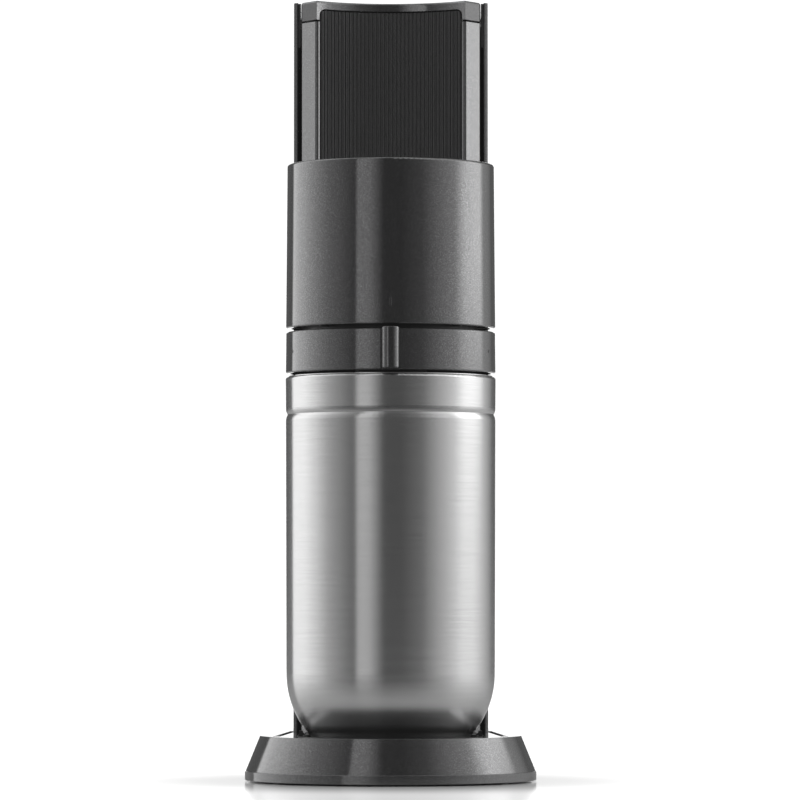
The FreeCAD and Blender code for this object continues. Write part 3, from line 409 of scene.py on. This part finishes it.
def ribs():
    """Scooped panel of upright ribs; each rib has two rounded crests."""
    lowest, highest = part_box("ribbed_panel")
    root, crest, back, half = 62.9 * MM, 61.9 * MM, 64.2 * MM, 40.2 * MM
    count, rear_steps, rounding_steps, rounding = 37, 24, 6, 3.0 * MM
    reach = math.asin(half / root)
    pitch = 2 * reach / count
    rear_reach = math.asin(half / back)

    def on_arc(radius, angle):
        return radius * math.sin(angle), AXIS_Y + radius * math.cos(angle)

    outline = [on_arc(root - (root - crest) * rise, -reach + (rib + along) * pitch)
               for rib in range(count) for along, rise in RIB_SECTION]
    outline += [on_arc(back, rear_reach * (1 - 2 * step / rear_steps))
                for step in range(rear_steps + 1)]

    # The loops go up in one step and then round off the panel's two top corners.
    height = highest.z - lowest.z
    levels = [0.0]
    for step in range(rounding_steps + 1):
        levels.append(height - rounding * (1 - math.sin(math.pi / 2 * step / rounding_steps)))
    builder = bmesh.new()
    loops = []
    for level in levels:
        loop = []
        for x, y in outline:
            past = max(0.0, abs(x) - (half - rounding))
            limit = highest.z - rounding + math.sqrt(max(rounding ** 2 - past ** 2, 0.0))
            loop.append(builder.verts.new((x, y, min(lowest.z + level, limit))))
        loops.append(loop)
    close_skin(builder, loops)
    bmesh.ops.remove_doubles(builder, verts=builder.verts, dist=1e-7)
    bmesh.ops.dissolve_degenerate(builder, edges=builder.edges, dist=1e-7)
    panel = smooth_object("rib_panel", builder, PANEL_BLACK)
    panel.data.set_sharp_from_angle(angle=math.radians(50))
    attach(panel, "tower")
    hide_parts("ribbed_panel")


pin_spring()
gas_hose()
ribs()


# ---- studio -------------------------------------------------------------------------

def studio_light():
    """Sky that holds a soft box each side, a strip light left of the camera and a top light.
    Azimuth 0 is towards the camera (-Y), positive to the right. The camera sees plain white."""
    world = bpy.data.worlds.new("studio")
    bpy.context.scene.world = world
    world.use_nodes = True
    tree = world.node_tree
    tree.nodes.clear()
    way = texture_axes(tree, "Generated")
    forward = math_node(tree, "MULTIPLY", way["Y"], -1.0)
    azimuth = math_node(tree, "ARCTAN2", way["X"], forward)
    turn = math_node(tree, "ADD", math_node(tree, "DIVIDE", azimuth, 2 * math.pi), 0.5)

    # Each light is a run of azimuths in degrees with their levels.
    dark = 0.07
    left_box = ((-139, 0.1), (-136, 1.0), (-110, 1.0), (-72, 0.38), (-39, 0.1))
    strip = ((-37, 0.56), (-24, 0.5), (-8, dark))
    right_box = ((12, dark), (35, 0.15), (84, 0.8), (103, 0.84), (148, 0.1))
    stops = ((-180, 0.04), *left_box, *strip, *right_box, (180, 0.04))
    around = ramp(tree, turn, [(degrees / 360 + 0.5, level) for degrees, level in stops])

    # Height runs from 0, straight down, through 0.5 at the horizon to 1.
    height = math_node(tree, "ADD", math_node(tree, "MULTIPLY", way["Z"], 0.5), 0.5)
    rise = ramp(tree, height, [(0.0, 0.3), (0.42, 0.9), (0.5, 1.0), (0.93, 1.0), (0.97, 0.6)])
    top = ramp(tree, height, [(0.94, 0.0), (0.98, 0.4)])
    sky = combined(tree, combined(tree, around, rise), top, "ADD")
    light = add(tree, "ShaderNodeBackground", Strength=1.55)
    tree.links.new(sky, light.inputs["Color"])
    seen = add(tree, "ShaderNodeBackground", Color=(1, 1, 1, 1), Strength=1.0)
    path = tree.nodes.new("ShaderNodeLightPath")
    choose = tree.nodes.new("ShaderNodeMixShader")
    tree.links.new(path.outputs["Is Camera Ray"], choose.inputs["Fac"])
    tree.links.new(light.outputs[0], choose.inputs[1])
    tree.links.new(seen.outputs[0], choose.inputs[2])
    output = tree.nodes.new("ShaderNodeOutputWorld")
    tree.links.new(choose.outputs[0], output.inputs["Surface"])


def plane(name, corners, material):
    """Four-cornered sheet that belongs to the studio, not the object."""
    mesh = bpy.data.meshes.new(name)
    mesh.from_pydata(corners, [], [(0, 1, 2, 3)])
    thing = linked_object(name, mesh, material)
    return thing


def floor_and_backdrop():
    """Pale glossy floor and a white sheet behind. The camera sees the floor pale all over, and
    white away from the object through a painted glow, which leaves painted shade round the
    base;
    reflections see painted shade that darkens the floor towards the camera."""
    material, tree, shader = new_material("pale_floor")
    path = tree.nodes.new("ShaderNodeLightPath")
    # Painted shade: for rays that are not from the camera, the floor's colour darkens towards
    # the camera.
    near = math_node(tree, "ADD", texture_axes(tree, "Object")["Y"], 1.0, True)
    painted_shade_for_reflections = ramp(tree, near, [(0.45, 0.05), (0.72, 0.3), (0.86, 0.75)])
    seen = add(tree, "ShaderNodeMix", data_type="RGBA")
    tree.links.new(path.outputs["Is Camera Ray"], seen.inputs["Factor"])
    tree.links.new(painted_shade_for_reflections, seen.inputs[MIX_A])
    seen.inputs[MIX_B].default_value = (0.8, 0.8, 0.8, 1)
    tree.links.new(seen.outputs[MIX_RESULT], shader.inputs["Base Color"])

    # Painted light for the camera alone: a glow from nothing at the base's edge to full 0.2 m
    # from the axis, which leaves painted shade on the floor round the base.
    away = add(tree, "ShaderNodeVectorMath", operation="LENGTH")
    tree.links.new(object_coordinates(tree, (1, 1, 0), (0, -AXIS_Y, 0)), away.inputs[0])
    glow = ramp(tree, away.outputs["Value"], [(0.085, 0.0), (0.2, 0.42)], True)
    tree.links.new(math_node(tree, "MULTIPLY", glow, path.outputs["Is Camera Ray"]),
                   shader.inputs["Emission Strength"])
    shader.inputs["Emission Color"].default_value = (1, 1, 1, 1)
    shader.inputs["Roughness"].default_value = 0.15
    shader.inputs["IOR"].default_value = 1.3
    plane("floor", [(-6, -6, 0), (6, -6, 0), (6, 6, 0), (-6, 6, 0)], material)

    white, tree, shader = new_material("white_backdrop")
    shader.inputs["Base Color"].default_value = (0, 0, 0, 1)
    shader.inputs["Emission Color"].default_value = (1, 1, 1, 1)
    shader.inputs["Emission Strength"].default_value = 1.1
    plane("backdrop", [(-0.7, 4, 0), (0.7, 4, 0), (0.7, 4, 2.5), (-0.7, 4, 2.5)], white)


def side_card():
    """Soft box close on the right that lifts the head's right side; unseen by the camera."""
    aside, front, rear, foot, top = 0.7, -0.3, 0.5, 0.15, 0.9
    material, tree, shader = new_material("soft_box")
    tree.nodes.remove(shader)
    place = texture_axes(tree, "Object")
    across = ramp(tree, math_node(tree, "ADD", place["Y"], 0.5),
                  [(0.20, 0.0), (0.45, 1.0), (0.72, 1.0), (0.88, 0.0)], True)
    rise = ramp(tree, place["Z"], [(0.20, 0.0), (0.36, 1.0), (0.62, 1.0), (0.8, 0.0)], True)
    glow = add(tree, "ShaderNodeEmission", Strength=1.45)
    tree.links.new(math_node(tree, "MULTIPLY", across, rise), glow.inputs["Color"])
    clear = tree.nodes.new("ShaderNodeBsdfTransparent")
    joined = tree.nodes.new("ShaderNodeAddShader")
    tree.links.new(glow.outputs[0], joined.inputs[0])
    tree.links.new(clear.outputs[0], joined.inputs[1])
    tree.links.new(joined.outputs[0], tree.nodes["Material Output"].inputs["Surface"])
    card = plane("soft_box", [(aside, front, foot), (aside, rear, foot),
                              (aside, rear, top), (aside, front, top)], material)
    card.visible_camera = False
    card.visible_shadow = False


def camera():
    """Long lens a little above the counter, level with the container's lower half."""
    aside, away, eye_height, aim_height = 0.0052, 2.838, 0.1064, 0.2123
    data = bpy.data.cameras.new("camera")
    data.sensor_width = 36.0
    data.lens = 229.0
    thing = bpy.data.objects.new("camera", data)
    bpy.context.scene.collection.objects.link(thing)
    eye = Vector((aside, AXIS_Y - away, eye_height))
    aim = Vector((aside, AXIS_Y, aim_height))
    thing.location = eye
    thing.rotation_euler = (aim - eye).to_track_quat("-Z", "Y").to_euler()
    bpy.context.scene.camera = thing

    # The photograph's blacks are a little soft.
    look = bpy.context.scene.view_settings
    look.view_transform = "Standard"
    look.use_curve_mapping = True
    look.curve_mapping.black_level = (-0.006, -0.006, -0.006)
    look.curve_mapping.update()


studio_light()
floor_and_backdrop()
side_card()
camera()
